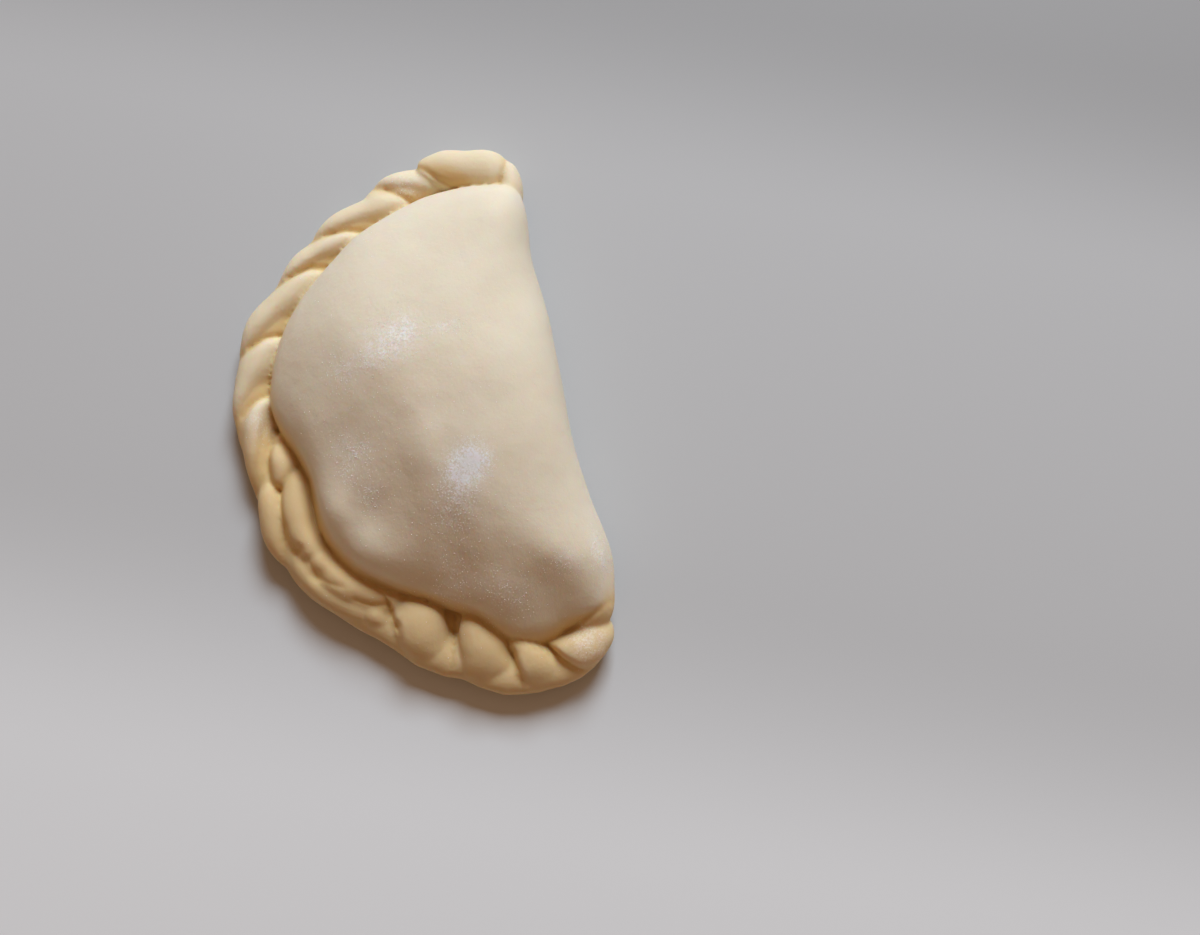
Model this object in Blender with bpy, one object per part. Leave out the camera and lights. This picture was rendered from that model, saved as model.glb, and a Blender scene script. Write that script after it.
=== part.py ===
"""A raw empanada: one round of dough folded over its filling, its curved edge tucked into a rope.

The dough lies flat on its back fold, with +Z up. +X runs along its length, from the narrow end
to the plump end, and +Y runs from the roped edge to the smooth fold. The origin is under the
middle of its outline, on the surface that it rests on. Sizes are in millimetres, and MM turns
them into Blender's metres. Angles are in degrees.
"""

import math
from collections import namedtuple

import bmesh
import bpy
import numpy as np
from mathutils import Vector

MM = 0.001

# The belly's summit, before its lumps are added, and the point that its slopes run out from
SUMMIT = 27.6
BELLY_CENTRE = (0.0, 6.5)

# The line along the middle of the rope, from the narrow end round to the plump end
RIM_LINE = (
    (-52.0, 36.0), (-55.5, 27.0), (-55.0, 17.0), (-51.0, 5.5), (-43.5, -8.0),
    (-32.0, -22.0), (-16.0, -31.5), (2.0, -31.0), (17.0, -30.0), (30.0, -22.5),
    (42.0, -9.0), (51.5, 7.0), (54.5, 19.0), (50.5, 31.0),
)
# The smooth fold at its widest, from the plump end back to the narrow end
FOLD_LINE = (
    (50.5, 31.5), (48.5, 33.4), (42.0, 34.8), (36.0, 36.4), (24.0, 34.8), (9.0, 33.9), (-6.0, 34.8),
    (-20.0, 35.2), (-31.0, 34.6), (-41.0, 36.0), (-48.0, 36.6),
)
# How far inside the rim line the belly rises from the rope: (distance along the rim, inset)
BELLY_INSETS = (
    (4, 5.5), (15, 5.5), (40, 2.2), (65, 2.7), (93, 5.0), (105, 7.8),
    (120, 6.5), (132, 5.7), (150, 8.0), (163, 8.3), (172, 4.8), (190, 4.6),
)

# On each of the belly's four sides, the level where it is widest and how full its slope is
Sides = namedtuple("Sides", "plump fold narrow rope")
WIDEST_LEVEL = Sides(plump=6.5, fold=9.5, narrow=7.0, rope=6.5)
FULLNESS = Sides(plump=1.7, fold=2.3, narrow=1.8, rope=1.5)
# The back is fuller than the dome, and would reach this share below the surface if not pressed flat
BACK_FULLNESS = 3.6
BACK_PRESS = 0.06
# How far round the outline is averaged, at the summit and at the outline itself
SUMMIT_SOFTENING = 52
OUTLINE_SOFTENING = 4
BELLY_ROUNDS, BELLY_LEVELS = 84, 34

# Lumps and hollows that the filling makes in the belly. long lies along turn, from +X towards +Y.
Lump = namedtuple("Lump", "x y long wide turn rise")
LUMPS = (
    Lump(12, -4, 20, 12, 20, -3.2),
    Lump(14, -19, 14, 5, 15, 1.0),
    Lump(28, 18, 15, 9, 50, 1.6),
    Lump(35, 29, 7, 5, 60, 2.4),
    Lump(13, 2, 15, 10, 75, 1.0),
    Lump(32, 5, 8, 9, 20, -1.4),
    Lump(17, -13, 7, 7, 0, -1.2),
    Lump(26, -11, 6, 6, 0, 1.6),
    Lump(-8, 20, 16, 9, 10, 0.8),
    Lump(-18, -4, 14, 10, 0, 0.8),
    Lump(42, 20, 6, 9, 15, -1.2),
    Lump(-43, 29, 7, 7, 0, 1.6),
)

# The rolls of dough that the rope is made of, in order along the rim. u is the distance along the
# rim line and v the distance outside it. lean turns a roll outwards from the rim line, so that its
# inner tip has the lower u. pitch lowers its outer heel, and a higher blunt gives blunter ends.
Roll = namedtuple("Roll", "u v length width lean level thick pitch blunt")
TUCKS = {
    "corner": Roll(2.0, -5.4, 10.5, 11.0, 80, 4.6, 8.8, 0, 2.4),
    "end_roll": Roll(9.5, -0.7, 20.5, 7.8, 4, 5.3, 8.4, 0, 4.0),
    "tuck_1": Roll(22.5, -0.4, 18.5, 9.0, 27, 4.7, 7.8, 6, 2.4),
    "tuck_2": Roll(35.5, -0.8, 19.5, 8.8, 24, 4.8, 8.0, 6, 2.4),
    "tuck_3": Roll(48.5, -0.4, 20.5, 8.8, 20, 4.8, 8.0, 6, 2.4),
    "tuck_4": Roll(61.5, -0.6, 25.0, 9.0, 16, 4.9, 8.2, 5, 2.4),
    "tuck_5": Roll(77.0, -1.1, 22.0, 9.2, 17, 4.9, 8.4, 5, 2.4),
    "tuck_6": Roll(93.5, -0.5, 27.0, 9.4, 17, 4.9, 8.6, 4, 2.4),
    "nub": Roll(101.0, -3.4, 9.5, 6.8, 14, 6.2, 8.4, -4, 2.6),
    "outer_strand": Roll(110.5, 0.9, 19.0, 7.6, 11, 4.6, 7.8, 0, 2.2),
    "inner_strand": Roll(112.5, -4.6, 22.0, 7.4, 8, 5.4, 8.6, 2, 2.5),
    "inner_ridge": Roll(130.0, -3.6, 21.0, 6.4, -5, 5.2, 8.4, 0, 2.6),
    "outer_band": Roll(131.0, -0.6, 42.0, 10.0, -1, 4.0, 7.2, 0, 3.0),
    "bump": Roll(142.5, -0.6, 11.5, 8.4, 10, 4.8, 8.2, 0, 2.2),
    "flap": Roll(147.0, -5.6, 15.0, 6.0, -8, 5.8, 8.4, 0, 2.6),
    "tuck_7": Roll(153.5, -1.2, 18.0, 12.0, 46, 4.8, 8.8, 4, 2.6),
    "tuck_8": Roll(165.0, -1.2, 21.0, 11.4, 44, 4.8, 8.8, 5, 2.8),
    "tuck_9": Roll(178.0, -0.8, 18.5, 10.6, 36, 4.5, 8.2, 5, 2.8),
    "end_tab": Roll(188.0, -0.8, 17.0, 11.0, 16, 4.8, 8.6, 3, 3.2),
}
TUCK_ROUNDS, TUCK_LEVELS = 14, 11
# The seam where the two layers are pressed together, and the edge that the tucks are folded from
SEAMS = {
    "seam": Roll(97.0, -6.0, 190.0, 14.0, 0, 3.8, 7.0, 0, 12.0),
    "edge": Roll(105.0, -0.4, 180.0, 8.8, 0, 4.0, 7.0, 0, 12.0),
}
SEAM_ROUNDS, SEAM_LEVELS = 10, 72

DOUGH_COLOUR = (0.78, 0.68, 0.52, 1.0)
DOUGH_ROUGHNESS = 0.75
# Creases steeper than this stay sharp in the shading
CREASE_ANGLE = 50


def smooth_curve(points, steps=24):
    """Points along a Catmull-Rom curve through the given ones."""
    given = np.array(points, float)
    ends = 2 * given[[0, -1]] - given[[1, -2]]
    knots = np.vstack([ends[:1], given, ends[1:]])
    t = np.linspace(0, 1, steps, endpoint=False)[:, None]
    pieces = []
    for a, b, c, d in zip(knots, knots[1:], knots[2:], knots[3:]):
        bend = (2 * a - 5 * b + 4 * c - d) * t**2 + (3 * b - a - 3 * c + d) * t**3
        pieces.append(b + 0.5 * ((c - a) * t + bend))
    return np.vstack(pieces + [given[-1:]])


class Rim:
    """The rim line, read by distance along it."""

    def __init__(self, points):
        self.line = smooth_curve(points)
        steps = np.linalg.norm(np.diff(self.line, axis=0), axis=1)
        self.along = np.concatenate([[0], np.cumsum(steps)])

    def read(self, u):
        return np.stack([np.interp(u, self.along, self.line[:, k]) for k in (0, 1)], axis=-1)

    def place(self, u, v, probe=1.0):
        """The point at u along the line and v outside it. The line runs on straight past its ends."""
        near = np.clip(u, probe, self.along[-1] - probe)
        ahead = self.read(near + probe) - self.read(near - probe)
        ahead /= np.linalg.norm(ahead, axis=-1, keepdims=True)
        outward = np.stack([ahead[..., 1], -ahead[..., 0]], axis=-1)
        return self.read(near) + ahead * (u - near)[..., None] + outward * v[..., None]


def round_the_belly(angle, sides):
    """Blends the four sides' values by direction, where angle 0 is +X, the plump end."""
    cos, sin = np.cos(angle), np.sin(angle)
    ends = np.where(cos > 0, sides.plump, sides.narrow)
    edges = np.where(sin > 0, sides.fold, sides.rope)
    return ends * cos**2 + edges * sin**2


def belly_reach(rim, angle, softening):
    """How far the belly's outline lies from its centre, averaged over softening degrees each way."""
    at, inset = np.array(BELLY_INSETS).T
    u = np.linspace(at[0], at[-1], 160)
    rope_side = rim.place(u, -np.interp(u, at, inset))
    outline = np.vstack([rope_side, smooth_curve(FOLD_LINE)]) - BELLY_CENTRE
    way = np.arctan2(outline[:, 1], outline[:, 0])
    order = np.argsort(way)
    far = np.hypot(*outline[order].T)
    turns = np.radians(np.linspace(-softening, softening, 15))
    reaches = [np.interp(angle + turn, way[order], far, period=2 * math.pi) for turn in turns]
    return np.mean(reaches, axis=0)


def lump_height(x, y):
    height = np.zeros_like(x)
    for lump in LUMPS:
        turn = math.radians(lump.turn)
        along = (x - lump.x) * math.cos(turn) + (y - lump.y) * math.sin(turn)
        across = (y - lump.y) * math.cos(turn) - (x - lump.x) * math.sin(turn)
        height += lump.rise * np.exp(-((along / lump.long) ** 2) - (across / lump.wide) ** 2)
    return height


def shape_belly(ball, rim):
    """Turns points of a unit ball into the belly: a full dome above, a flat back below."""
    x, y, z = ball.T
    angle = np.arctan2(y, x)
    level = round_the_belly(angle, WIDEST_LEVEL)
    fullness = np.where(z >= 0, round_the_belly(angle, FULLNESS), BACK_FULLNESS)
    spread = np.hypot(x, y) ** (2 / fullness)
    swell = np.abs(z) ** (2 / fullness)
    # Near the summit the slopes are round, and further down they take on the outline
    round_reach = belly_reach(rim, angle, SUMMIT_SOFTENING)
    true_reach = belly_reach(rim, angle, OUTLINE_SOFTENING)
    reach = spread * (round_reach + (true_reach - round_reach) * spread**2)
    px = BELLY_CENTRE[0] + reach * np.cos(angle)
    py = BELLY_CENTRE[1] + reach * np.sin(angle)
    dome = level + (SUMMIT - level + lump_height(px, py)) * swell
    back = np.maximum(level * (1 - (1 + BACK_PRESS) * swell), 0)
    return np.stack([px, py, np.where(z >= 0, dome, back)], axis=1)


def shape_roll(ball, rim, roll):
    """Turns points of a unit ball, with its poles on X, into one roll laid along the rim line."""
    x, y, z = ball.T
    side = np.hypot(y, z)
    pole = side < 1e-6
    girth = (1 - np.abs(x) ** roll.blunt) ** (1 / roll.blunt)
    grow = np.where(pole, 0, girth / np.where(pole, 1, side))
    along = x * roll.length / 2
    across = y * grow * roll.width / 2
    up = z * grow * roll.thick / 2
    lean, pitch = math.radians(roll.lean), math.radians(roll.pitch)
    u = roll.u + along * math.cos(lean) - across * math.sin(lean)
    v = roll.v + along * math.sin(lean) + across * math.cos(lean)
    return np.column_stack([rim.place(u, v), roll.level + up - along * math.sin(pitch)])


def shaped_ball(name, rounds, levels, shape, lying=False):
    """A ball of the given fineness, with its points moved by shape. Its poles are on Z, or on X if lying."""
    bm = bmesh.new()
    bmesh.ops.create_uvsphere(bm, u_segments=rounds, v_segments=levels, radius=1)
    ball = np.array([vertex.co for vertex in bm.verts])
    if lying:
        ball = ball[:, [2, 0, 1]]
    for vertex, place in zip(bm.verts, shape(ball)):
        vertex.co = Vector(place) * MM
    bmesh.ops.recalc_face_normals(bm, faces=bm.faces)
    mesh = bpy.data.meshes.new(name)
    bm.to_mesh(mesh)
    bm.free()
    return bpy.data.objects.new(name, mesh)


def lay_rolls(rim, rolls, rounds, levels):
    return [
        shaped_ball(name, rounds, levels, lambda ball, roll=roll: shape_roll(ball, rim, roll), lying=True)
        for name, roll in rolls.items()
    ]


def fuse(body, rolls):
    """Joins the rolls to the body by one Boolean union, and removes them."""
    group = bpy.data.collections.new("rolls")
    bpy.context.scene.collection.children.link(group)
    for roll in rolls:
        group.objects.link(roll)
    union = body.modifiers.new("fuse", "BOOLEAN")
    union.operation = "UNION"
    union.operand_type = "COLLECTION"
    union.collection = group
    union.solver = "EXACT"
    bpy.context.view_layer.update()
    seen = body.evaluated_get(bpy.context.evaluated_depsgraph_get())
    fused = bpy.data.meshes.new_from_object(seen)
    body.modifiers.clear()
    body.data = fused
    for roll in rolls:
        bpy.data.objects.remove(roll)
    bpy.data.collections.remove(group)


def set_on_origin(body):
    """Moves the mesh so that the origin is under the middle of its outline, at its base."""
    corners = np.array([vertex.co for vertex in body.data.vertices])
    low, high = corners.min(axis=0), corners.max(axis=0)
    middle = Vector(((low[0] + high[0]) / 2, (low[1] + high[1]) / 2, low[2]))
    for vertex in body.data.vertices:
        vertex.co -= middle


def dough_material():
    material = bpy.data.materials.new("raw_dough")
    material.use_nodes = True
    shader = material.node_tree.nodes["Principled BSDF"]
    shader.inputs["Base Color"].default_value = DOUGH_COLOUR
    shader.inputs["Roughness"].default_value = DOUGH_ROUGHNESS
    shader.inputs["Metallic"].default_value = 0.0
    return material


def make_empanada():
    rim = Rim(RIM_LINE)
    body = shaped_ball("empanada", BELLY_ROUNDS, BELLY_LEVELS, lambda ball: shape_belly(ball, rim))
    bpy.context.scene.collection.objects.link(body)
    seams = lay_rolls(rim, SEAMS, SEAM_ROUNDS, SEAM_LEVELS)
    tucks = lay_rolls(rim, TUCKS, TUCK_ROUNDS, TUCK_LEVELS)
    fuse(body, seams + tucks)
    set_on_origin(body)
    body.data.materials.clear()
    body.data.materials.append(dough_material())
    body.data.shade_smooth()
    body.data.set_sharp_from_angle(angle=math.radians(CREASE_ANGLE))


for leftover in list(bpy.data.objects):
    bpy.data.objects.remove(leftover)
make_empanada()
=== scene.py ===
"""A raw empanada with flour on it, lying on a pale board in soft window light.

The dough is modelled in millimetres, in the frame that the rim line is given in: +X from the
narrow end to the plump end, +Y from the rope to the fold, +Z up. MIDDLE is where that frame has
the origin of the part. MM turns millimetres into Blender's metres.
"""

import math
import random

import bmesh
import bpy
import numpy as np
from mathutils import Matrix, Vector, noise
from mathutils.bvhtree import BVHTree


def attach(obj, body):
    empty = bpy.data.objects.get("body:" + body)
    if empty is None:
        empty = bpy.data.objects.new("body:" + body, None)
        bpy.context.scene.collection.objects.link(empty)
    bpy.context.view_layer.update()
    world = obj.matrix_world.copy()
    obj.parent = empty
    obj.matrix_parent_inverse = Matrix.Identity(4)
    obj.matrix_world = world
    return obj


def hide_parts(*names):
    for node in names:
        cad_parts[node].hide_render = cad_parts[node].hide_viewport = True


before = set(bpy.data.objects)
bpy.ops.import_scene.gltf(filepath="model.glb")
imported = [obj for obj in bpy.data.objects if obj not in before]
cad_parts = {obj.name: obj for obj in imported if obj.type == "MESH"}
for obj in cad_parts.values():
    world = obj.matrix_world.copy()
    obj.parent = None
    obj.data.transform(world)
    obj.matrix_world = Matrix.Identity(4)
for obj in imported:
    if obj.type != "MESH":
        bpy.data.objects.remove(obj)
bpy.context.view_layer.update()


# The belly is one thin sheet of rolled dough, pulled over the filling and lying on its own back.
# The filling makes soft lumps and hollows in it. It is widest a little above the board, fullest at
# the fold, and falls in a long slope to the narrow end.
MM = 0.001
MIDDLE = (1.05, 0.33)
SUMMIT = 27.6
BELLY_CENTRE = (0.0, 6.5)
BELLY_ROUNDS, BELLY_LEVELS = 240, 110
RIM_LINE = (
    (-52.0, 36.0), (-55.5, 27.0), (-55.0, 17.0), (-51.0, 5.5), (-43.5, -8.0),
    (-32.0, -22.0), (-16.0, -31.5), (2.0, -31.0), (17.0, -30.0), (30.0, -22.5),
    (42.0, -9.0), (51.5, 7.0), (54.5, 19.0), (50.5, 31.0),
)
FOLD_LINE = (
    (50.5, 31.5), (48.5, 33.4), (42.0, 34.8), (36.0, 36.4), (24.0, 34.8), (9.0, 33.9), (-6.0, 34.8),
    (-20.0, 35.2), (-31.0, 34.6), (-41.0, 36.0), (-48.0, 36.6),
)
BELLY_INSETS = (
    (4, 5.5), (15, 5.5), (40, 2.2), (65, 2.7), (93, 5.0), (105, 7.8),
    (120, 6.5), (132, 5.7), (150, 8.0), (163, 8.3), (172, 4.8), (190, 4.6),
)
WIDEST_LEVEL = {"plump": 6.5, "fold": 9.5, "narrow": 7.0, "rope": 6.5}
FULLNESS = {"plump": 1.62, "fold": 2.3, "narrow": 2.1, "rope": 1.5}
BACK_FULLNESS, BACK_PRESS = 3.6, 0.06
SUMMIT_SOFTENING, OUTLINE_SOFTENING = 52, 4


def smooth_curve(points, steps=24):
    """Points along a Catmull-Rom curve through the given ones."""
    given = np.array(points, float)
    ends = 2 * given[[0, -1]] - given[[1, -2]]
    knots = np.vstack([ends[:1], given, ends[1:]])
    t = np.linspace(0, 1, steps, endpoint=False)[:, None]
    pieces = []
    for a, b, c, d in zip(knots, knots[1:], knots[2:], knots[3:]):
        bend = (2 * a - 5 * b + 4 * c - d) * t**2 + (3 * b - a - 3 * c + d) * t**3
        pieces.append(b + 0.5 * ((c - a) * t + bend))
    return np.vstack(pieces + [given[-1:]])


class Rim:
    """The rim line, read by distance along it."""

    def __init__(self, points):
        self.line = smooth_curve(points)
        steps = np.linalg.norm(np.diff(self.line, axis=0), axis=1)
        self.along = np.concatenate([[0], np.cumsum(steps)])
        self.ahead = np.gradient(self.line, axis=0)
        self.ahead /= np.linalg.norm(self.ahead, axis=1, keepdims=True)

    def read(self, u):
        return np.stack([np.interp(u, self.along, self.line[:, k]) for k in (0, 1)], axis=-1)

    def place(self, u, v, probe=1.0):
        """The point at u along the line and v outside it. The line runs on straight past its ends."""
        near = np.clip(u, probe, self.along[-1] - probe)
        ahead = self.read(near + probe) - self.read(near - probe)
        ahead /= np.linalg.norm(ahead, axis=-1, keepdims=True)
        outward = np.stack([ahead[..., 1], -ahead[..., 0]], axis=-1)
        return self.read(near) + ahead * (u - near)[..., None] + outward * v[..., None]

    def find(self, plan):
        """The distances along and outside the line of points in plan."""
        nearest = np.concatenate([
            ((some[:, None] - self.line[None]) ** 2).sum(axis=2).argmin(axis=1)
            for some in np.array_split(plan, 40)
        ])
        ahead = self.ahead[nearest]
        step = plan - self.line[nearest]
        outward = np.stack([ahead[:, 1], -ahead[:, 0]], axis=1)
        along = self.along[nearest] + (step * ahead).sum(axis=1)
        return np.stack([along, (step * outward).sum(axis=1)], axis=1)


def round_the_belly(angle, sides):
    cos, sin = np.cos(angle), np.sin(angle)
    ends = np.where(cos > 0, sides["plump"], sides["narrow"])
    edges = np.where(sin > 0, sides["fold"], sides["rope"])
    return ends * cos**2 + edges * sin**2


def belly_inset(u):
    at, inset = np.array(BELLY_INSETS).T
    return np.interp(u, at, inset)


def belly_reach(angle, softening):
    """How far the belly's outline lies from its centre, averaged over softening degrees each way."""
    u = np.linspace(BELLY_INSETS[0][0], BELLY_INSETS[-1][0], 160)
    rope_side = rim.place(u, -belly_inset(u))
    outline = np.vstack([rope_side, smooth_curve(FOLD_LINE)]) - BELLY_CENTRE
    way = np.arctan2(outline[:, 1], outline[:, 0])
    order = np.argsort(way)
    far = np.hypot(*outline[order].T)
    turns = np.radians(np.linspace(-softening, softening, 15))
    return np.mean([np.interp(angle + turn, way[order], far, period=2 * math.pi) for turn in turns], axis=0)


def shape_belly(ball):
    """Turns points of a unit ball into the belly: a full dome above, a flat back below."""
    x, y, z = ball.T
    angle = np.arctan2(y, x)
    level = round_the_belly(angle, WIDEST_LEVEL)
    fullness = np.where(z >= 0, round_the_belly(angle, FULLNESS), BACK_FULLNESS)
    spread = np.hypot(x, y) ** (2 / fullness)
    swell = np.abs(z) ** (2 / fullness)
    round_reach = belly_reach(angle, SUMMIT_SOFTENING)
    true_reach = belly_reach(angle, OUTLINE_SOFTENING)
    reach = spread * (round_reach + (true_reach - round_reach) * spread**2)
    px = BELLY_CENTRE[0] + reach * np.cos(angle)
    py = BELLY_CENTRE[1] + reach * np.sin(angle)
    dome = level + (SUMMIT - level) * swell
    back = np.maximum(level * (1 - (1 + BACK_PRESS) * swell), 0)
    return np.stack([px, py, np.where(z >= 0, dome, back)], axis=1)


def unit_ball(rounds, levels):
    """The points and faces of a ball with its poles on Z."""
    bm = bmesh.new()
    bmesh.ops.create_uvsphere(bm, u_segments=rounds, v_segments=levels, radius=1)
    bmesh.ops.triangulate(bm, faces=bm.faces)
    points = np.array([vertex.co for vertex in bm.verts])
    faces = np.array([[vertex.index for vertex in face.verts] for face in bm.faces])
    bm.free()
    return points, faces


rim = Rim(RIM_LINE)
ball, ball_faces = unit_ball(BELLY_ROUNDS, BELLY_LEVELS)
dough_shells = [(shape_belly(ball), ball_faces)]


# The rope is the round's curved edge, pressed to a seam and then folded over itself tuck by tuck.
# Each tuck starts as a high rounded tip over the one before, beside the belly, and runs down and
# outwards to a low heel that the next one covers. Past the middle the tucks are loose and uneven.
# Each roll is a line of points: distance along the rim, distance outside it, level, half its
# width, half its thickness. The number after its name is how blunt its ends are.
ROLLS = {
    ("seam", 12): ((2, -6.0, 2.6, 6.5, 2.4), (97, -6.0, 2.6, 6.5, 2.4), (192, -6.0, 2.6, 6.5, 2.4)),
    ("edge", 10): ((13, -0.6, 3.9, 3.6, 3.2), (60, 0.2, 4.0, 4.0, 3.3), (110, 0.0, 4.0, 4.2, 3.3),
                   (134, -0.8, 4.0, 3.9, 3.3), (148, 0.0, 4.0, 4.3, 3.3), (156, 1.2, 3.9, 4.7, 3.3),
                   (163, 0.6, 4.0, 4.6, 3.4), (171, 1.9, 3.9, 4.8, 3.4), (179, 0.9, 4.0, 4.6, 3.4),
                   (187, 0.6, 4.0, 4.6, 3.4), (194, -0.8, 4.0, 4.2, 3.4)),
    ("corner", 3.0): ((0.4, -11.0, 5.4, 3.4, 4.0), (0.1, -7.0, 5.2, 3.0, 4.3),
                      (0.3, -3.4, 5.0, 2.5, 4.3), (1.6, -0.2, 4.6, 2.1, 3.9), (3.6, 1.0, 4.2, 1.8, 3.0)),
    ("end_roll", 8): ((2.4, -2.2, 5.2, 4.0, 4.3), (6, -1.3, 5.4, 4.6, 4.5), (11, -1.2, 5.4, 4.4, 4.4),
                      (16, 0.1, 5.1, 4.4, 4.2), (21, 1.8, 4.7, 2.8, 3.5)),
    ("crown", 3.0): ((12, -0.5, 4.5, 4.2, 3.6), (17, 0.1, 4.6, 4.6, 4.1), (22, -0.4, 4.6, 4.7, 4.1),
                     (28.5, 0.6, 4.7, 5.0, 4.1), (34, -0.4, 4.7, 4.6, 4.1), (42, 0.8, 4.7, 5.1, 4.1),
                     (48, 0.3, 4.7, 4.8, 4.1), (53, 0.6, 4.7, 4.9, 4.1), (60, -0.2, 4.8, 4.7, 4.2),
                     (68, 0.8, 4.8, 5.2, 4.2), (73, 0.4, 4.8, 5.0, 4.2), (79, -0.5, 4.9, 4.6, 4.3),
                     (87, -0.3, 4.9, 4.8, 4.3), (91.5, -0.2, 4.9, 4.4, 4.3), (96, 1.2, 4.7, 4.0, 4.2),
                     (100, 2.4, 4.4, 3.6, 3.6), (105.5, 4.2, 3.9, 1.8, 2.6)),
    ("facet", 2.2): ((91.5, -4.8, 4.4, 1.5, 2.0), (96.5, -4.4, 4.8, 1.8, 2.2)),
    ("nub", 2.8): ((95.2, -4.0, 6.0, 2.5, 2.9), (99.5, -3.3, 6.3, 3.1, 3.3),
                   (103.5, -2.7, 6.1, 2.8, 3.1), (108.0, -2.2, 5.6, 2.0, 2.6)),
    ("outer_strand", 2.6): ((101.5, 0.2, 5.2, 1.8, 2.6), (105.5, 1.1, 5.6, 2.9, 3.2),
                            (110, 1.5, 5.4, 3.1, 3.5), (115, 2.2, 4.8, 2.9, 3.3),
                            (120.5, 3.2, 4.0, 1.4, 2.2)),
    ("inner_strand", 3.0): ((101.6, -6.4, 6.4, 1.8, 2.6), (104.5, -5.0, 7.0, 3.2, 3.2),
                            (110, -4.0, 7.1, 3.7, 3.6), (116, -3.6, 7.0, 3.6, 3.5),
                            (121, -3.5, 6.9, 3.1, 3.3), (127, -3.9, 6.4, 2.4, 2.8)),
    ("knob", 2.0): ((119.8, -3.5, 7.2, 1.2, 1.4), (122.6, -3.7, 7.2, 1.2, 1.4)),
    ("outer_band", 3.0): ((114.5, 0.2, 4.1, 1.4, 2.6), (120, 1.3, 3.7, 2.6, 2.9),
                          (127, 1.4, 3.4, 2.8, 2.8), (134, 0.7, 3.4, 2.8, 2.8),
                          (141, 1.1, 3.6, 2.8, 2.9), (149, 2.2, 3.8, 2.3, 2.8)),
    ("slope", 3.0): ((116, -0.4, 4.8, 2.6, 2.8), (124, -0.2, 5.1, 3.8, 3.2), (132, -0.6, 5.1, 3.9, 3.2),
                     (140, -1.2, 4.9, 3.6, 3.0), (147, -2.2, 4.5, 2.8, 2.7)),
    ("inner_ridge", 3.0): ((116.5, -3.4, 6.0, 2.4, 2.6), (121, -3.4, 6.6, 3.3, 3.1),
                           (125, -3.4, 6.8, 3.8, 3.3), (131, -3.5, 6.7, 4.0, 3.4),
                           (138, -4.2, 6.4, 3.7, 3.2), (144, -5.4, 6.0, 2.8, 2.8),
                           (148, -6.5, 5.7, 1.9, 2.3)),
    ("bump", 2.2): ((136.6, -0.8, 4.8, 1.8, 2.6), (141.2, -1.0, 5.3, 2.8, 3.1),
                    (145.5, 0.6, 4.8, 1.8, 2.8)),
    ("tuck_7", 2.8): ((147.0, -8.2, 6.8, 4.6, 2.6), (149.2, -4.9, 6.8, 5.8, 3.6),
                      (152.4, -1.2, 5.8, 5.6, 4.2), (155.4, 2.0, 4.6, 4.8, 3.5),
                      (157.0, 4.7, 3.7, 3.8, 2.6)),
    ("tuck_8", 2.8): ((160.2, -9.2, 6.4, 2.6, 2.6), (162.6, -5.9, 6.7, 3.9, 3.6),
                      (165.8, -2.2, 6.1, 5.3, 4.2), (168.4, 1.6, 5.0, 6.2, 3.8),
                      (170.2, 5.2, 3.8, 5.2, 2.8)),
    ("tuck_9", 3.2): ((171.6, -6.4, 6.0, 2.2, 2.6), (175.6, -3.0, 6.2, 3.7, 3.4),
                      (178.0, 0.4, 5.3, 5.3, 3.8), (179.8, 5.2, 3.7, 5.0, 2.8)),
    ("end_tab", 3.4): ((180.8, -4.9, 5.8, 1.4, 2.2), (184.5, -3.2, 6.1, 3.2, 3.5),
                       (188, -0.7, 5.7, 4.8, 4.2), (191.5, -0.6, 5.1, 4.5, 4.2),
                       (194, -1.6, 4.8, 4.0, 4.0), (195.8, -2.8, 4.6, 3.0, 3.4)),
}
# The lips of the upper tucks, from the belly outwards, as distances along and outside the rim line.
# From its crest each tuck sinks, most of all by the belly, until the next one lies over it.
TUCK_LIPS = (
    ((2.0, -6.0), (2.0, 6.0)),
    ((14.0, -5.4), (17.9, -1.9), (20.6, 2.6)),
    ((25.2, -4.0), (27.0, -1.0), (28.9, 2.1)),
    ((38.2, -2.4), (41.0, 0.4), (44.8, 2.9)),
    ((49.8, -2.4), (52.2, 0.5), (56.9, 2.7)),
    ((68.2, -2.8), (70.2, 0.1), (73.8, 2.8)),
    ((82.4, -4.4), (84.6, -1.3), (87.6, 1.8)),
    ((91.6, -4.2), (95.8, -1.8), (100.8, 0.4), (104.3, 4.0)),
)
TUCK_SINKS = {"by the belly": 5.2, "outside": 1.9}
TUCK_LIP_ROUND, TUCK_LIP_DROP = 1.4, 1.5
# Between these distances outside the rim line the tucks pass from steep to gentle
TUCK_OUTER = (-4.5, 4.0)
# How far along a tuck its crest lies, by the belly, and how much further on the outer side
TUCK_CREST, TUCK_CREST_SHIFT = 0.10, 0.45
TUCKED_ROLLS = ("crown",)
ROLL_ROUNDS, ROLL_LEVELS = 40, 48
TUCKED_ROUNDS, TUCKED_LEVELS = 72, 300


def fade(values, low, high):
    """A smooth step from 0 at low to 1 at high."""
    t = np.clip((values - low) / (high - low), 0, 1)
    return t * t * (3 - 2 * t)


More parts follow.
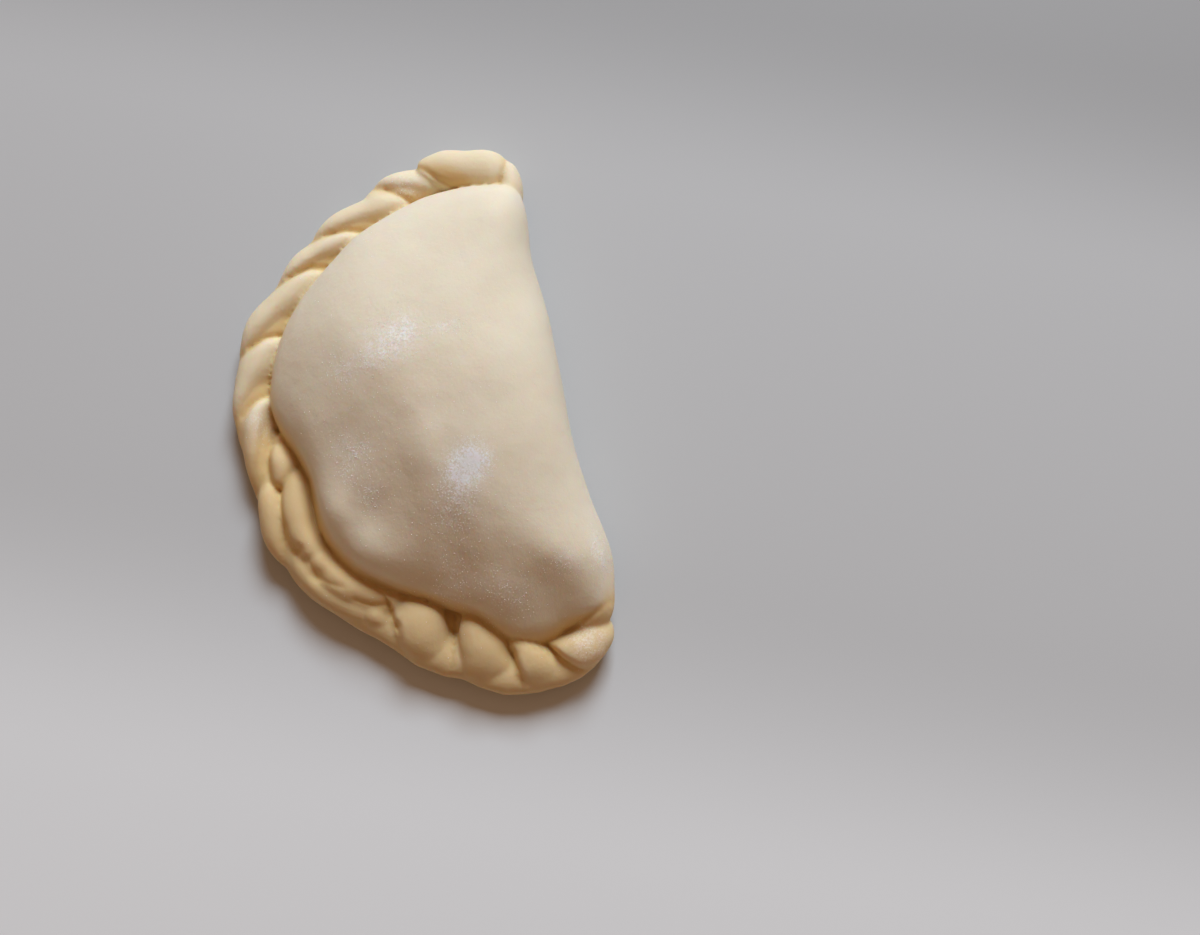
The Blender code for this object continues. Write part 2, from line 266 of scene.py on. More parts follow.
def tuck_drop(u, v):
    """How far the upper tucks lie below the rope's crown."""
    lips = []
    for line in TUCK_LIPS:
        line = np.array(line)
        ends = 2 * line[[0, -1]] - line[[1, -2]]
        line = np.vstack([ends[:1], line, ends[1:]])
        lips.append(np.interp(v, line[:, 1], line[:, 0]))
    lips = np.array(lips)
    tuck = (u >= lips).sum(axis=0) - 1
    inside = (tuck >= 0) & (tuck < len(TUCK_LIPS) - 1)
    tuck = np.clip(tuck, 0, len(TUCK_LIPS) - 2)
    own = np.take_along_axis(lips, tuck[None], 0)[0]
    after = np.take_along_axis(lips, tuck[None] + 1, 0)[0]
    outer = fade(v, *TUCK_OUTER)
    share = np.clip((u - own) / (after - own), 0, 1)
    crest = TUCK_CREST + TUCK_CREST_SHIFT * outer
    before = np.clip((crest - share) / crest, 0, 1)
    beyond = np.clip((share - crest) / (1 - crest), 0, 1)
    sink = TUCK_SINKS["by the belly"] * (1 - outer) + TUCK_SINKS["outside"] * outer
    lip = TUCK_LIP_DROP * (1 - 0.8 * outer) * np.exp(-(((u - own) / TUCK_LIP_ROUND) ** 1.5))
    drop = sink * beyond**2.2 + TUCK_SINKS["outside"] * outer * before**3 + lip
    return np.where(inside, drop, 0)


def shape_roll(ball, stations, blunt, tucked):
    """Turns points of a unit ball, with its poles on X, into one roll laid along its stations."""
    x, y, z = ball.T
    line = smooth_curve(stations)
    steps = np.linalg.norm(np.diff(line[:, :2], axis=0), axis=1)
    share = np.concatenate([[0], np.cumsum(steps)]) / steps.sum()
    here = (x + 1) / 2
    u, v, level, wide, thick = (np.interp(here, share, line[:, k]) for k in range(5))
    ahead = np.stack([np.interp(here, share, slope) for slope in np.gradient(line[:, :2], axis=0).T])
    ahead /= np.linalg.norm(ahead, axis=0)
    side = np.hypot(y, z)
    pole = side < 1e-6
    girth = (1 - np.minimum(np.abs(x), 1) ** blunt) ** (1 / blunt)
    grow = np.where(pole, 0, girth / np.where(pole, 1, side))
    across = y * grow * wide
    u, v = u - across * ahead[1], v + across * ahead[0]
    height = z * grow * thick
    if tucked:
        height -= tuck_drop(u, v) * fade(z, -0.1, 0.4)
    return np.column_stack([rim.place(u, v), level + height])


ball, ball_faces = unit_ball(ROLL_ROUNDS, ROLL_LEVELS)
fine_ball, fine_ball_faces = unit_ball(TUCKED_ROUNDS, TUCKED_LEVELS)
for (name, blunt), stations in ROLLS.items():
    tucked = name in TUCKED_ROLLS
    points, faces = (fine_ball, fine_ball_faces) if tucked else (ball, ball_faces)
    dough_shells.append((shape_roll(points[:, [2, 0, 1]], stations, blunt, tucked), faces))


# The belly and the rope are one piece of dough, so their surfaces are joined to one skin, and the
# places where rolls meet are worked soft, as fingers leave them. Dough pulled back from the skin's
# creases leaves them narrow and deep beside the belly and open on the outer side.
SKIN_STEP = 0.49
# Levels between which the skin stops being rope, and between which it starts to be belly
ROPE_ENDS, BELLY_BEGINS = (11.0, 13.0), (10.0, 14.0)
# Rounds of smoothing: of the whole skin, of the rope's outer side, of the belly, of the creases
SKIN_SOFTENING, OUTER_SIDE_SOFTENING, BELLY_SOFTENING, CREASE_SOFTENING = 2, 4, 60, 6
# The groove beside each upper tuck's lip: depth and width
LIP_GROOVE, LIP_GROOVE_WIDTH = 0.8, 0.55
# Where a lower tuck lies over the one before: how deep the lower one dips, over what length, how
# far the upper one's lip stands up, and the lip's line
LIPS = (
    (0.8, 2.0, 0.3, ((142.6, -4.6), (144.7, -2.5), (146.6, -0.9), (148.6, 1.4))),
    (1.0, 3.0, 0.3, ((157.3, -7.8), (158.5, -4.8), (159.9, 0.3), (160.4, 3.0))),
    (1.4, 3.0, 0.3, ((171.9, -3.2), (173.0, -1.6), (174.6, 1.1), (175.4, 4.2))),
    (1.8, 2.6, 0.3, ((181.2, -4.2), (183.4, -1.2), (185.2, 2.2), (186.4, 4.4))),
)
# Each crease: how deep it is at its start and at its end, how wide it is, and its line
CREASES = (
    (1.2, 0.5, 0.8, ((91.6, -4.2), (95.8, -1.8), (100.8, 0.4), (104.3, 4.0))),
    (0.5, 0.7, 0.7, ((99.0, -0.6), (102.9, 0.0), (105.0, -1.3))),
    (0.6, 0.7, 0.7, ((101.4, -6.2), (103.7, -3.2), (105.0, -1.5))),
    (0.9, 0.6, 0.6, ((105.0, -1.4), (110.0, -0.8), (115.7, -0.6), (119.4, -1.0))),
    (0.7, 0.2, 0.8, ((113.2, -0.5), (117.2, 1.5), (118.8, 3.4))),
    (0.7, 0.3, 0.8, ((122.6, -1.4), (126.4, -0.5), (129.4, -1.2), (132.4, -2.4))),
    (0.7, 0.9, 0.7, ((136.0, -1.6), (140.1, -2.5), (142.8, -4.0))),
    (0.7, 0.7, 0.9, ((163.0, -8.8), (166.5, -6.2), (169.8, -4.2), (172.3, -2.0))),
)
# Pits: distance along and outside the rim line, radius, depth
PITS = (
    (92.2, -4.9, 1.0, 1.8), (119.2, -1.2, 1.2, 0.6), (126.2, -1.0, 1.6, 0.7), (146.6, -0.8, 1.0, 0.8),
    (172.2, -2.6, 1.6, 0.7), (182.2, -3.0, 1.3, 0.6),
)
# The gap between the belly and the rope: distance along the rim and depth
GAP_DEPTHS = ((2, 0.0), (5, 0.1), (20, 0.2), (86, 0.4), (91, 1.5), (98, 1.6), (106, 1.5), (114, 2.2),
              (124, 2.2), (136, 1.3), (144, 0.9), (150, 1.8), (158, 0.8), (174, 0.5), (180, 0.7),
              (183, 1.8), (188, 2.8), (193, 1.6), (197, 0.3))
# How wide it is, and how wide a strip along it is worked soft
GAP_WIDTH, GAP_SOFTENED = 1.0, 1.2
# Lumps that the filling makes: x, y, length, width, turn from +X in degrees, rise
LUMPS = (
    (12, -4, 20, 12, 20, -2.6), (15, -19, 14, 5, 15, 1.6), (0, -20, 9, 5, -10, 0.9),
    (39, 4, 5, 10, 10, 1.1), (28, 18, 15, 9, 50, 1.3), (35, 29, 8, 6, 60, 1.4),
    (13, 2, 15, 10, 75, 1.0), (31, 5, 8, 9, 20, -0.6), (17, -13, 7, 7, 0, -1.0),
    (26, -11, 6, 6, 0, 1.4), (-8, 20, 16, 9, 10, 0.8), (-18, -4, 14, 10, 0, 0.8),
    (42, 20, 6, 9, 15, -0.2), (-43, 29, 7, 7, 0, 1.6), (6, 4, 4, 6, 80, 0.6), (12, -3, 4, 6, 70, -0.4),
    (13, -18, 4, 4, 0, 0.7), (15, -9, 3, 4, 60, -0.3), (21, -13, 4, 6, 75, 0.5),
    (25, 5, 4, 8, 70, -0.6), (37.5, 23.5, 4, 5, 0, -0.4), (-8, -2, 5, 7, 60, -0.3),
    (1, 20, 6, 5, 30, -0.3),
)


def joined_skin(shells, step):
    """One closed skin round all the shells, as points in millimetres and a Blender mesh."""
    points, faces, count = [], [], 0
    for shell_points, shell_faces in shells:
        points.append(shell_points)
        faces.append(shell_faces + count)
        count += len(shell_points)
    mesh = bpy.data.meshes.new("shells")
    mesh.from_pydata(np.vstack(points).tolist(), [], np.vstack(faces).tolist())
    shells_object = bpy.data.objects.new("shells", mesh)
    bpy.context.scene.collection.objects.link(shells_object)
    wrap = shells_object.modifiers.new("wrap", "REMESH")
    wrap.mode = "VOXEL"
    wrap.voxel_size = step
    bpy.context.view_layer.update()
    seen = shells_object.evaluated_get(bpy.context.evaluated_depsgraph_get())
    skin = bpy.data.meshes.new_from_object(seen)
    bpy.data.objects.remove(shells_object)
    bpy.data.meshes.remove(mesh)
    return skin


class Skin:
    """The skin's points as they are worked, with their neighbours."""

    def __init__(self, mesh):
        self.mesh = mesh
        self.count = len(mesh.vertices)
        flat = np.empty(self.count * 3, np.float32)
        mesh.vertices.foreach_get("co", flat)
        self.points = flat.reshape(-1, 3).astype(float)
        edges = np.empty(len(mesh.edges) * 2, np.int32)
        mesh.edges.foreach_get("vertices", edges)
        self.edges = edges.reshape(-1, 2)
        self.neighbours = np.bincount(edges, minlength=self.count).astype(float)

    def around(self, values):
        """The mean of each point's neighbours."""
        a, b = self.edges.T
        if values.ndim == 1:
            total = np.bincount(a, values[b], self.count) + np.bincount(b, values[a], self.count)
            return total / self.neighbours
        return np.stack([self.around(column) for column in values.T], axis=1)

    def soften(self, times, hold=0.0, keep_size=True):
        """Smooths the points. hold, from 0 to 1, keeps a point where it is."""
        share = (1 - np.broadcast_to(hold, self.count))[:, None]
        for _ in range(times):
            self.points += 0.5 * share * (self.around(self.points) - self.points)
            if keep_size:
                self.points -= 0.52 * share * (self.around(self.points) - self.points)

    def normals(self):
        flat = np.empty(self.count * 3, np.float32)
        self.mesh.vertices.foreach_set("co", self.points.astype(np.float32).ravel())
        self.mesh.update()
        self.mesh.vertices.foreach_get("normal", flat)
        return flat.reshape(-1, 3).astype(float)


def line_distance(places, line):
    """Each place's distance from a line of points, how far along it the nearest point is, and on
    which side it lies: 1 on the side that tucks come from, -1 on the other."""
    line = np.array(line, float)
    lengths = np.linalg.norm(np.diff(line, axis=0), axis=1)
    before = np.concatenate([[0], np.cumsum(lengths)])
    nearest = np.full(len(places), 1e9)
    along = np.zeros(len(places))
    side = np.zeros(len(places))
    for start, end, length, done in zip(line, line[1:], lengths, before):
        way = (end - start) / length
        t = np.clip((places - start) @ way, 0, length)
        gap = np.linalg.norm(places - start - t[:, None] * way, axis=1)
        closer = gap < nearest
        nearest = np.where(closer, gap, nearest)
        along = np.where(closer, (done + t) / before[-1], along)
        cross = way[0] * (places[:, 1] - start[1]) - way[1] * (places[:, 0] - start[0])
        side = np.where(closer, np.sign(cross), side)
    return nearest, along, side


def spot(px, py, x, y, long, wide, turn):
    """1 in the middle of a round or long spot and 0 well outside it."""
    cos, sin = math.cos(math.radians(turn)), math.sin(math.radians(turn))
    along = (px - x) * cos + (py - y) * sin
    across = (py - y) * cos - (px - x) * sin
    return np.exp(-((along / long) ** 2) - (across / wide) ** 2)


def ripple(points, size, seed):
    """Smooth noise of the given size at each point, from about -1 to 1."""
    shift = Vector((seed * 17.3, seed * 5.1, seed * 9.7))
    return np.array([noise.noise(Vector(p) / size + shift) for p in points])


skin = Skin(joined_skin(dough_shells, SKIN_STEP))
places = rim.find(skin.points[:, :2])
along_rim, outside = places.T
in_rope = fade(outside + belly_inset(along_rim), -0.4, 0.8)
low_enough = 1 - fade(skin.points[:, 2], *ROPE_ENDS)
in_rope *= low_enough
skin.soften(SKIN_SOFTENING)
skin.soften(OUTER_SIDE_SOFTENING, hold=1 - in_rope * fade(outside, 0.0, 3.0))
on_belly = fade(skin.points[:, 2], *BELLY_BEGINS)
skin.soften(BELLY_SOFTENING, hold=1 - on_belly, keep_size=False)
for x, y, long, wide, turn, rise in LUMPS:
    skin.points[:, 2] += on_belly * rise * spot(skin.points[:, 0], skin.points[:, 1], x, y, long, wide, turn)

facing_up = fade(skin.normals()[:, 2], -0.1, 0.5)
worked = np.zeros(skin.count)
for line in TUCK_LIPS[1:-1]:
    gap, share, _ = line_distance(places, line)
    groove = LIP_GROOVE * (1 - 0.6 * share) * np.exp(-((gap / LIP_GROOVE_WIDTH) ** 2))
    worked += groove * in_rope * facing_up
for dip, length, stand, line in LIPS:
    gap, share, side = line_distance(places, line)
    before = dip * (1 - 0.85 * share) * np.exp(-gap * 2 / length)
    after = -stand * (1 - 0.6 * share) * np.exp(-(((gap - 1.0) / 1.0) ** 2))
    groove = 0.5 * (1 - 0.8 * share) * np.exp(-((gap / 0.5) ** 2))
    worked += (np.where(side > 0, before, after) + groove) * in_rope * facing_up
for start_depth, end_depth, width, line in CREASES:
    gap, share, _ = line_distance(places, line)
    depth = start_depth + (end_depth - start_depth) * share
    worked += depth * np.exp(-((gap / width) ** 1.2)) * in_rope * facing_up
for u, v, radius, depth in PITS:
    gap = np.hypot(along_rim - u, outside - v)
    worked += depth * np.exp(-((gap / radius) ** 2)) * in_rope * facing_up
at, depth = np.array(GAP_DEPTHS).T
gap = np.abs(outside + belly_inset(along_rim))
gap_depth = np.interp(along_rim, at, depth)
worked += gap_depth * np.exp(-((gap / GAP_WIDTH) ** 1.3)) * low_enough * facing_up
skin.points[:, 2] -= worked
by_belly = np.exp(-((gap / GAP_SOFTENED) ** 2)) * low_enough
skin.soften(CREASE_SOFTENING, hold=1 - np.maximum(np.minimum(worked, 0.7), by_belly))


# Dough keeps the marks of the pin and of fingers: slow waves over the whole skin, and a fine
# unevenness where it was torn or pressed. It lies flat on the board, so the waves fade out there.
# Each wave: its length and its height
WAVES = ((9.0, 0.16), (1.4, 0.015), (4.0, 0.06))
WAVES_BEGIN = (0.0, 1.5)
# The size of the crumbs on a rough edge, and how wide the edge is
CRUMB, EDGE_WIDTH = 0.9, 0.9
# Each rough edge: how high its crumbs stand, and its line
ROUGH_EDGES = (
    (0.30, ((142.4, -5.3), (144.2, -7.6), (147.5, -8.3), (151.2, -8.0), (153.6, -7.4))),
    (0.25, ((171.8, -5.2), (175.5, -5.3), (177.8, -3.8), (180.7, -2.3))),
    (0.16, ((124.1, -4.8), (131.8, -5.3), (138.2, -5.5))),
)

waves = sum(height * ripple(skin.points, size, seed) for seed, (size, height) in enumerate(WAVES, 1))
crumbs = ripple(skin.points, CRUMB, len(WAVES))
for height, line in ROUGH_EDGES:
    gap, _, _ = line_distance(places, line)
    waves += height * np.exp(-((gap / EDGE_WIDTH) ** 2)) * crumbs * low_enough
above_board = fade(skin.points[:, 2], *WAVES_BEGIN)
skin.points += skin.normals() * (waves * above_board)[:, None]
skin.points[:, 2] = np.maximum(skin.points[:, 2], 0)


# Shade is painted into the dough: a darker warm orange in its creases, in the recesses of the tucks and on
# the belly's foot by the lower rope, and a darker tone on the lower tucks where the belly shades them. Light
# is painted onto the rope's crests. The dough is darker where it is pulled thin over the filling, which also
# paints shade into the belly's shaded middle and hollows. Flour lies on it as a film in patches. Each of
# these is a tone that every point of the skin carries, and the material reads it.
# Where flour lies: x, y, length, width, turn from +X in degrees, thickness of the film, grains
FLOUR = (
    (-17.3, 2.4, 4.2, 4.4, 0, 0.75, 540), (-19.4, 5.8, 2.2, 2.4, 0, 0.55, 160),
    (-15.2, -2.2, 2.6, 3.0, 0, 0.5, 190), (-17.6, 13.9, 1.0, 3.2, 0, 0.5, 90),
    (-14.2, -8.8, 3.0, 3.2, 0, 0.4, 130), (10.8, 12.6, 2.8, 3.0, 0, 4.0, 1300),
    (12.6, 9.6, 2.8, 2.8, 0, 1.2, 600), (16.5, 8.0, 3.6, 3.4, 0, 0.6, 370),
    (20.0, 5.6, 4.0, 4.0, 0, 0.35, 230), (2.4, -9.6, 2.4, 2.4, 0, 0.5, 130),
    (6.2, -13.2, 2.6, 2.0, 0, 0.4, 90), (11.6, -9.8, 3.4, 3.0, 0, 0.4, 160),
    (0.0, -13.0, 5.0, 3.0, 0, 0.3, 70), (31.2, 4.2, 6.0, 6.0, 0, 0.25, 250),
    (38.6, 13.6, 4.0, 5.0, 0, 0.3, 220), (35.0, 25.8, 2.6, 4.0, 0, 0.4, 130),
    (34.0, 33.6, 4.0, 1.6, 0, 0.7, 160), (-53.7, 11.9, 3.0, 3.0, 0, 0.45, 40),
    (-10.6, -30.8, 3.0, 3.0, 0, 0.4, 30), (52.3, 27.1, 3.6, 3.6, 0, 0.6, 80),
    (0.0, 4.0, 34.0, 20.0, 0, 0.10, 780),
)
# Where the dough is thin and the filling's tone comes through, and where shade is painted into the belly's
# shaded middle and hollows: x, y, length, width, turn, share
THIN_AND_SHADED_PLACES = (
    (15, -5, 15, 8, 20, 0.5), (31, 9, 8, 10, 0, 0.5), (-6, 3, 9, 7, 30, 0.45), (34, 22, 5, 5, 0, 0.4),
)
# The rounds of smoothing that a crease is measured from, and the depths that give a whole painted shade
HOLLOW_ROUNDS, WHOLE_HOLLOW, WHOLE_RECESS_SHADE = 14, 0.8, 3.2
# The painted shade, a warm dark tone, on the belly's foot beside the lower rope: how strong it is, how far
# up it reaches, where it begins
FOOT_SHADE, FOOT_SHADE_REACH, FOOT_SHADE_BEGINS = 0.6, 5.0, (80, 100)
# The painted shade on the lower tucks, where the belly shades them: how strong it is, where it begins and
# where it ends
LOWER_ROPE_SHADE_SHARE, LOWER_ROPE_SHADE_BEGINS, LOWER_ROPE_SHADE_ENDS = 0.7, (98, 106), (180, 187)
# The rope's own colour starts a little inside the belly's edge
ROPE_COLOUR_BEGINS = (-1.5, 0.6)

# How hollow or rounded each point is: the material paints shade into the hollows and light onto the rope's
# crests from it
smoothed = skin.points.copy()
for _ in range(HOLLOW_ROUNDS):
    smoothed = skin.around(smoothed)
hollow = ((smoothed - skin.points) * skin.normals()).sum(axis=1)
hollow = np.clip(hollow / WHOLE_HOLLOW, -1, 1)
into_belly = np.maximum(-outside - belly_inset(along_rim), 0)
# Painted shade: the belly's foot beside the lower rope gets a darker warm tone
foot_shade = FOOT_SHADE * np.exp(-into_belly / FOOT_SHADE_REACH) * fade(along_rim, *FOOT_SHADE_BEGINS) * low_enough
# Painted shade: the deeper a crease or a tuck's recess, the darker and warmer it is painted
depth = worked + tuck_drop(along_rim, outside) * in_rope * facing_up
recess_shade = np.clip(depth / WHOLE_RECESS_SHADE + foot_shade, 0, 1)
rope = fade(outside + belly_inset(along_rim), *ROPE_COLOUR_BEGINS) * low_enough
# Painted shade: the lower tucks are painted darker where the belly shades them
lower_rope_shade = LOWER_ROPE_SHADE_SHARE * fade(along_rim, *LOWER_ROPE_SHADE_BEGINS) * (1 - fade(along_rim, *LOWER_ROPE_SHADE_ENDS))
# The filling's tone through thin dough, partly painted shade on the belly's shaded middle and hollows
thin_and_shade = np.zeros(skin.count)
for x, y, long, wide, turn, share in THIN_AND_SHADED_PLACES:
    thin_and_shade += share * spot(skin.points[:, 0], skin.points[:, 1], x, y, long, wide, turn)
floury = np.zeros(skin.count)
for x, y, long, wide, turn, film, _ in FLOUR:
    floury += film * spot(skin.points[:, 0], skin.points[:, 1], x, y, long, wide, turn)
floury *= facing_up

skin.points -= np.array([*MIDDLE, 0])
skin.points *= MM
skin.normals()
dough_mesh = skin.mesh
dough_mesh.name = "dough"
tones = {
    "hollow": hollow, "recess_shade": recess_shade, "rope": rope, "floury": floury, "thin_and_shade": thin_and_shade,
    "lower_rope_shade": lower_rope_shade,
}
for name, values in tones.items():
    tone = dough_mesh.attributes.new(name, "FLOAT", "POINT")
    tone.data.foreach_set("value", values.astype(np.float32))
dough_mesh.shade_smooth()
dough = bpy.data.objects.new("dough", dough_mesh)
bpy.context.scene.collection.objects.link(dough)
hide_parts("empanada")
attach(dough, "root")
print("dough triangles", sum(len(face.vertices) - 2 for face in dough_mesh.polygons))


# Raw wheat dough: cream, matt with a faint sheen, and a little see-through, so that light gets
# into thin edges and the creases look warm. Shade is also painted into the creases, the tucks' recesses,
# the belly's foot and the lower tucks, and light onto the rope's crests. Flour lies on it as a thin
# white film in patches.
class Value:
    """One output of a material's node. Sums on it add Math nodes."""

    def __init__(self, paint, socket):
        self.paint = paint
        self.socket = socket

    def sum(self, operation, *others):
        return self.paint.add("ShaderNodeMath", {"operation": operation}, dict(enumerate((self, *others))))

    def __add__(self, other):
        return self.sum("ADD", other)

    def __mul__(self, other):
        return self.sum("MULTIPLY", other)

    __radd__ = __add__
    __rmul__ = __mul__

    def held(self, low=0.0, high=1.0):
        return self.sum("MINIMUM", high).sum("MAXIMUM", low)

    def step(self, low, high):
        """A smooth step from 0 at low to 1 at high."""
        settings = {"interpolation_type": "SMOOTHSTEP"}
        sockets = {"Value": self, "From Min": low, "From Max": high}
        return self.paint.add("ShaderNodeMapRange", settings, sockets)


class Paint:
    """A material whose nodes are added by one method."""

    def __init__(self, name):
        self.material = bpy.data.materials.new(name)
        self.material.use_nodes = True
        self.tree = self.material.node_tree
        self.tree.nodes.clear()

    def add(self, kind, settings, sockets, output=0):
        """Adds a node, with its settings set first, then the values or links of its sockets."""
        node = self.tree.nodes.new(kind)
        for name, value in settings.items():
            setattr(node, name, value)
        for name, value in sockets.items():
            if isinstance(value, Value):
                self.tree.links.new(value.socket, node.inputs[name])
            else:
                node.inputs[name].default_value = value
        return Value(self, node.outputs[output])

    def tone(self, name):
        """A tone that the mesh's points carry."""
        return self.add("ShaderNodeAttribute", {"attribute_name": name}, {}, output="Fac")

    def noise(self, size, detail=3.0, roughness=0.5):
        """Noise from 0 to 1 with features of the given size in millimetres."""
        place = self.add("ShaderNodeTexCoord", {}, {}, output="Object")
        sockets = {"Vector": place, "Scale": 1 / (size * MM), "Detail": detail, "Roughness": roughness}
        return self.add("ShaderNodeTexNoise", {}, sockets)

    def mix(self, share, first, second):
        """A colour between the first, at share 0, and the second, at share 1."""
        return self.add("ShaderNodeMix", {"data_type": "RGBA"}, {0: share, 6: first, 7: second}, output=2)

    def finish(self, **sockets):
        named = {name.replace("_", " "): value for name, value in sockets.items()}
        shader = self.add("ShaderNodeBsdfPrincipled", {}, named)
        out = self.tree.nodes.new("ShaderNodeOutputMaterial")
        self.tree.links.new(shader.socket, out.inputs["Surface"])
        return self.material


CREAM = (0.765, 0.675, 0.525, 1)
BUTTERY = (0.765, 0.645, 0.44, 1)
# The darker colour painted on the lower tucks as shade
LOWER_ROPE_SHADE_COLOUR = (0.58, 0.485, 0.345, 1)
# The darker orange painted into creases, recesses and the belly's foot as shade
PAINTED_SHADE_ORANGE = (0.70, 0.475, 0.20, 1)
FILLING = (0.70, 0.53, 0.36, 1)
FLOUR_WHITE = (0.97, 0.955, 0.955, 1)
PINKISH = (0.745, 0.63, 0.475, 1)

skin_paint = Paint("raw_dough")
hollow_shade_and_light_tone = skin_paint.tone("hollow")
recess_shade_tone = skin_paint.tone("recess_shade")
rope_tone = skin_paint.tone("rope")
flour_tone = skin_paint.tone("floury")
lower_rope_shade_tone = skin_paint.tone("lower_rope_shade")
thin_and_shade_tone = skin_paint.tone("thin_and_shade")
cloudy = skin_paint.noise(14, 2).step(0.35, 0.7)
colour = skin_paint.mix(cloudy * 0.35, CREAM, PINKISH)
mottle = skin_paint.noise(4.5, 3, 0.6).step(0.3, 0.75)
colour = skin_paint.mix(mottle * 0.1, colour, FILLING)
# Thin dough shows the filling, partly as painted shade
colour = skin_paint.mix((thin_and_shade_tone * (cloudy * 0.3 + 0.85)).held() * 0.5, colour, FILLING)
# Painted light: the rope's crests are paler
crest = (hollow_shade_and_light_tone * -1).step(0.1, 0.6) * 0.7
rope_colour_with_painted_light = skin_paint.mix(crest, BUTTERY, CREAM)
# The rope's colour, with painted shade on the lower tucks
colour = skin_paint.mix(rope_tone, colour, skin_paint.mix(lower_rope_shade_tone, rope_colour_with_painted_light, LOWER_ROPE_SHADE_COLOUR))
# Painted shade in the hollows
colour = skin_paint.mix(hollow_shade_and_light_tone.step(0.05, 0.8) * 0.75, colour, PAINTED_SHADE_ORANGE)
# Painted shade in the tucks' recesses and on the belly's foot
colour = skin_paint.mix(recess_shade_tone.step(0.05, 0.85) * 0.8, colour, PAINTED_SHADE_ORANGE)
speckle = skin_paint.noise(0.5, 2, 0.7).step(0.43, 0.60)
clumps = skin_paint.noise(2.2, 3, 0.6).step(0.25, 0.75)
flour_cover = (flour_tone * (speckle * 0.75 + 0.25) * (clumps * 0.8 + 0.3)).held()
colour = skin_paint.mix(flour_cover * 0.95, colour, FLOUR_WHITE)
fine = skin_paint.noise(0.7, 4, 0.6)
coarse = skin_paint.noise(3.0, 2)
relief = fine * 0.35 + coarse * 0.65
pores = {"Strength": 0.35, "Distance": 0.4 * MM, "Height": relief}
bump = skin_paint.add("ShaderNodeBump", {}, pores, output="Normal")
rough = skin_paint.noise(5, 3) * 0.16 + 0.66
dough_mesh.materials.clear()
dough_mesh.materials.append(skin_paint.finish(
    Base_Color=colour, Roughness=rough, Subsurface_Weight=0.5,
    Subsurface_Radius=(1.0, 0.38, 0.14), Subsurface_Scale=3 * MM, Specular_IOR_Level=0.25, Normal=bump))


# Grains of flour lie in the film, each less than a third of a millimetre across. They are loose,
# and came off the floured board and the hands. None lie on steep sides or near the board.
# Half a grain's size, how much it is stretched each way, and the share of it that stands out
GRAIN_REACH, GRAIN_STRETCH, GRAIN_LIFT = (0.03, 0.11), (0.6, 1.3), 0.3
# How far the grains of a patch are strewn, as a share of its size
GRAIN_SPREAD = 0.7
# The lowest level, and the least upward share of the skin's direction, where a grain stays
LOWEST_GRAIN, STEEPEST_GRAIN = 6, 0.2
# The height, in metres, that grains are dropped from
ABOVE = 0.1
SEED = 7

maker = random.Random(SEED)
surface = BVHTree.FromPolygons(
    [vertex.co for vertex in dough_mesh.vertices], [face.vertices for face in dough_mesh.polygons])
corners = np.array([(1, 0, 0), (-1, 0, 0), (0, 1, 0), (0, -1, 0), (0, 0, 1), (0, 0, -1)], float)
sides = [(0, 2, 4), (2, 1, 4), (1, 3, 4), (3, 0, 4), (2, 0, 5), (1, 2, 5), (3, 1, 5), (0, 3, 5)]
grain_points, grain_faces = [], []
for x, y, long, wide, _, _, count in FLOUR:
    for _ in range(count):
        start_x = (x - MIDDLE[0] + maker.gauss(0, long * GRAIN_SPREAD)) * MM
        start_y = (y - MIDDLE[1] + maker.gauss(0, wide * GRAIN_SPREAD)) * MM
        place, normal, _, _ = surface.ray_cast((start_x, start_y, ABOVE), (0, 0, -1))
        if place is None or place.z < LOWEST_GRAIN * MM or normal.z < STEEPEST_GRAIN:
            continue
        reach = maker.uniform(*GRAIN_REACH) * MM
        shape = np.array([maker.uniform(*GRAIN_STRETCH) for _ in range(3)]) * reach
        turned = np.array(Matrix.Rotation(maker.uniform(0, math.pi), 3, normal))
        grain_faces.extend([tuple(len(grain_points) + k for k in side) for side in sides])
        grain_points.extend(corners * shape @ turned + np.array(place + normal * reach * GRAIN_LIFT))
flour_mesh = bpy.data.meshes.new("flour")
flour_mesh.from_pydata([tuple(p) for p in grain_points], [], grain_faces)
flour = bpy.data.objects.new("flour", flour_mesh)
bpy.context.scene.collection.objects.link(flour)
flour_paint = Paint("flour")
tint = flour_paint.mix(flour_paint.noise(3.0, 2), (0.90, 0.88, 0.87, 1), (0.96, 0.95, 0.94, 1))
flour_mesh.materials.append(flour_paint.finish(Base_Color=tint, Roughness=0.9))
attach(flour, "root")
print("flour triangles", len(grain_faces))


# The board is plain and pale. It lies under the dough and isn't part of it. Its grey is darker
# towards the top of the picture and paler towards the bottom: the darker top is a painted shadow.
BOARD_REACH = 1.6
# Where the painted shadow gives way to the pale grey across the board: from, to, share
PAINTED_SHADOW_EDGES = ((-0.125, -0.07, 0.43), (0.02, 0.09, 0.57))
PAINTED_SHADOW_SLANT = -0.45
# The dim grey is a painted shadow, the pale grey the lit board
PAINTED_SHADOW_GREY, PALE = (0.355, 0.35, 0.35, 1), (0.73, 0.735, 0.745, 1)

